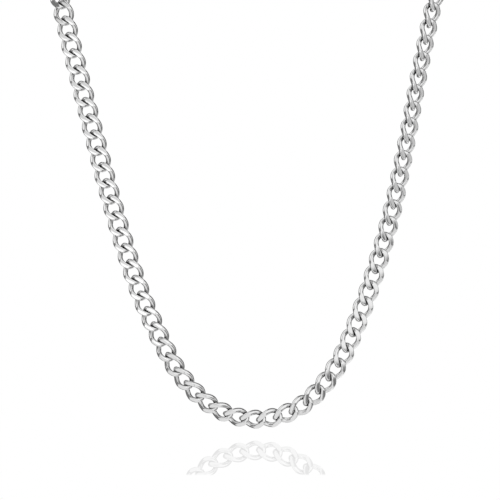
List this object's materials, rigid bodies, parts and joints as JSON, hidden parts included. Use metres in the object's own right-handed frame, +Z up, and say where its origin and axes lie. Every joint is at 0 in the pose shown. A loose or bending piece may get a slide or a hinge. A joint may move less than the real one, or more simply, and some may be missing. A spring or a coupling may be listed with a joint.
{
  "type": "curb chain necklace",
  "caption": "Curb chain necklace: flat, twisted, interlocking oval steel links in one closed loop worn round the neck, with a plain barrel clasp at the nape.",
  "frame": {"origin": "where the loop hangs at the nape: the middle of the chain's thickness at the back of the neck, in the barrel of the clasp", "axes": "+Z up as worn, the front of the necklace towards -Y, the wearer's left hand side (the right side of the picture) towards +X"},
  "size_m": [0.1213, 0.0965, 0.1573],
  "materials": {
    "link_steel": "drawn stainless wire, tumble polished to a mirror, with flats filed and buffed on both faces",
    "clasp_steel": "turned stainless steel, polished"
  },
  "bodies": {
    "root": {"chain_left": "link_steel", "chain_right": "link_steel", "clasp": "clasp_steel"}
  },
  "joints": []
}
